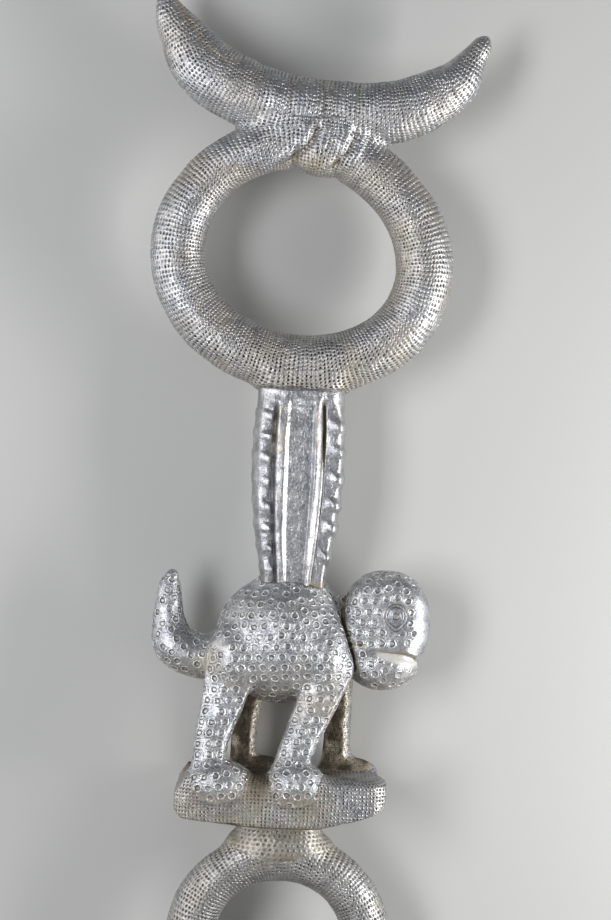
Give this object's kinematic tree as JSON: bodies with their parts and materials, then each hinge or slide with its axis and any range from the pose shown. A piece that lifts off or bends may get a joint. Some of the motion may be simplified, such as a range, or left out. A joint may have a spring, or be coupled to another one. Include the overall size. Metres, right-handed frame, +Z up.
{
  "type": "ceremonial staff",
  "caption": "Ceremonial staff of carved wood sheathed in punched silver sheet, with a crescent, rings and a standing animal at its head.",
  "frame": {"origin": "bottom centre of the staff's bounding box as it lies on its back, on the surface that it lies on", "axes": "+Y along the staff towards the crescent, +Z up through the front of the staff, +X towards the side that the animal faces"},
  "size_m": [0.1204, 1.5002, 0.0455],
  "materials": {
    "silver_sheet": "thin silver sheet over carved wood, punched with rows of dots, worn bright on the ridges and tarnished in the hollows"
  },
  "bodies": {
    "root": {"staff": "silver_sheet"}
  },
  "joints": []
}
